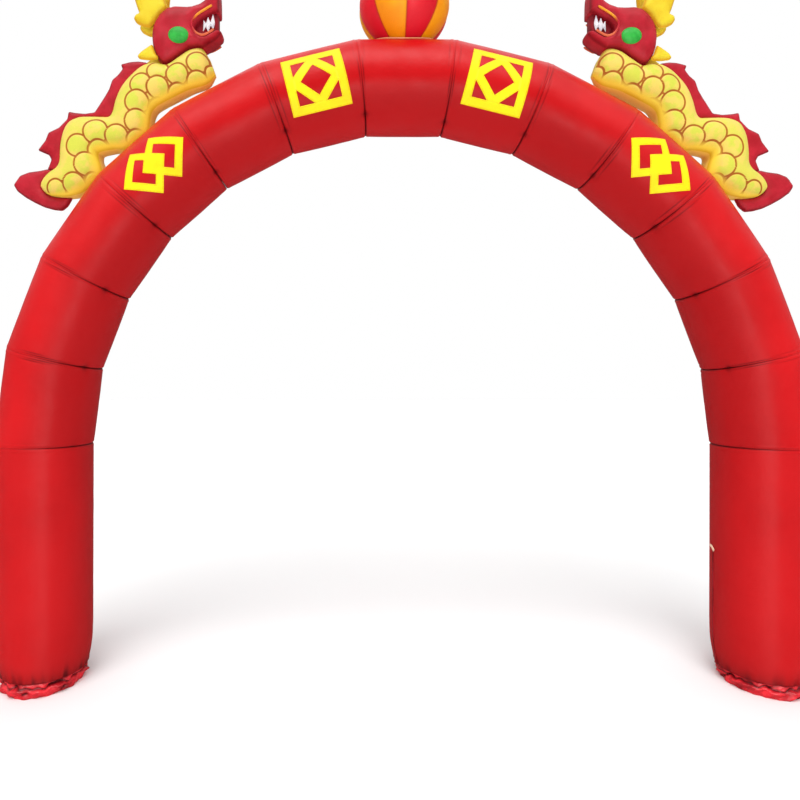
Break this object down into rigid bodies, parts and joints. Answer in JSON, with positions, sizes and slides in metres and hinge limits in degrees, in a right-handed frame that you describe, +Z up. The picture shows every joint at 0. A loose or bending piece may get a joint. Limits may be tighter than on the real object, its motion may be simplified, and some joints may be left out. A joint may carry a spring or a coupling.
{
  "type": "inflatable arch",
  "caption": "Free-standing inflatable cloth arch of mitred tube panels on upright legs, with an inflated dragon on each shoulder facing a striped ball on the crown.",
  "frame": {"origin": "on the ground, midway between the legs and midway through the tube", "axes": "+X across the span, +Z up, and the front with the motifs faces -Y"},
  "size_m": [8, 0.88, 7.09],
  "materials": {
    "red_cloth": "coated woven polyester, semi-gloss, pulled taut by the air inside",
    "yellow_cloth": "matt applique cloth",
    "gold_cloth": "printed coated polyester, soft sheen",
    "crimson_cloth": "coated woven polyester, soft sheen",
    "green_cloth": "printed coated polyester, soft sheen",
    "orange_cloth": "coated woven polyester, soft sheen",
    "dark_cloth": "matt lining cloth",
    "white_cloth": "matt padded cloth",
    "pale_cloth": "matt binding tape",
    "zip_cloth": "woven zip tape with moulded teeth"
  },
  "bodies": {
    "root": {"panel_01": "red_cloth", "panel_02": "red_cloth", "panel_03": "red_cloth", "panel_04": "red_cloth", "panel_05": "red_cloth", "panel_06": "red_cloth", "panel_07": "red_cloth", "panel_08": "red_cloth", "panel_09": "red_cloth", "panel_10": "red_cloth", "panel_11": "red_cloth", "panel_12": "red_cloth", "panel_13": "red_cloth", "leg_left": "red_cloth", "leg_right": "red_cloth", "base_left": "red_cloth", "base_right": "red_cloth", "zip_tape": "zip_cloth", "zip_pull": "pale_cloth", "ball_piping": "pale_cloth", "motif_left_outer": "yellow_cloth", "motif_left_inner": "yellow_cloth", "motif_right_inner": "yellow_cloth", "motif_right_outer": "yellow_cloth", "ball": "orange_cloth", "dragon_left_body": "gold_cloth", "dragon_left_horn_front": "gold_cloth", "dragon_left_horn_rear": "gold_cloth", "dragon_left_ear_front": "gold_cloth", "dragon_left_ear_rear": "gold_cloth", "dragon_left_head": "crimson_cloth", "dragon_left_crest": "crimson_cloth", "dragon_left_fluke": "crimson_cloth", "dragon_left_mouth": "dark_cloth", "dragon_left_teeth_front": "white_cloth", "dragon_left_teeth_rear": "white_cloth", "dragon_left_eye_front": "green_cloth", "dragon_left_eye_rear": "green_cloth", "dragon_left_lip_front": "orange_cloth", "dragon_left_lip_rear": "orange_cloth", "dragon_right_body": "gold_cloth", "dragon_right_horn_front": "gold_cloth", "dragon_right_horn_rear": "gold_cloth", "dragon_right_ear_front": "gold_cloth", "dragon_right_ear_rear": "gold_cloth", "dragon_right_head": "crimson_cloth", "dragon_right_crest": "crimson_cloth", "dragon_right_fluke": "crimson_cloth", "dragon_right_mouth": "dark_cloth", "dragon_right_teeth_front": "white_cloth", "dragon_right_teeth_rear": "white_cloth", "dragon_right_eye_front": "green_cloth", "dragon_right_eye_rear": "green_cloth", "dragon_right_lip_front": "orange_cloth", "dragon_right_lip_rear": "orange_cloth"}
  },
  "joints": []
}
